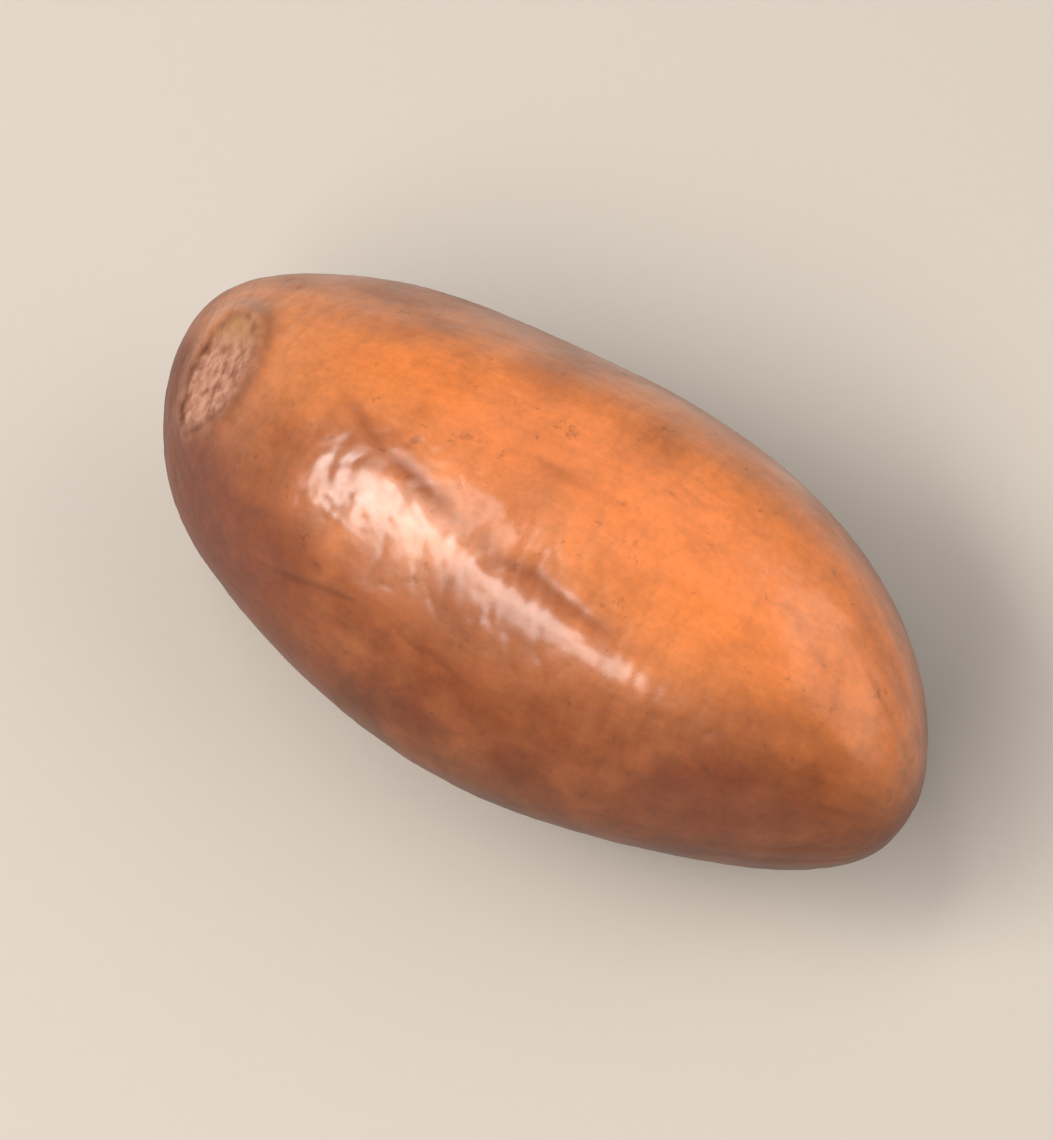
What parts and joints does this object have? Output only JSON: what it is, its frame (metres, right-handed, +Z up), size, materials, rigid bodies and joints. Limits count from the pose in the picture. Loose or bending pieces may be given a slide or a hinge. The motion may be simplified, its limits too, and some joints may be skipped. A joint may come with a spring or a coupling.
{
  "type": "calabash nutmeg",
  "caption": "Whole calabash nutmeg: an oblong, slightly skewed seed with a glossy orange-brown coat and an oval scar at its narrow end, lying on a small flat spot.",
  "frame": {"origin": "middle of the seed's bounding box, at the height of the flat spot it lies on", "axes": "+X along the seed from the scarred narrow end to the broad end, +Z up from the flat spot"},
  "size_m": [0.0192, 0.0098, 0.0083],
  "materials": {
    "seed_coat": "hard woody seed coat, naturally glossy, finely wrinkled, orange-brown with mauve-brown ends and a pale matt scar"
  },
  "bodies": {
    "root": {"seed": "seed_coat"}
  },
  "joints": []
}
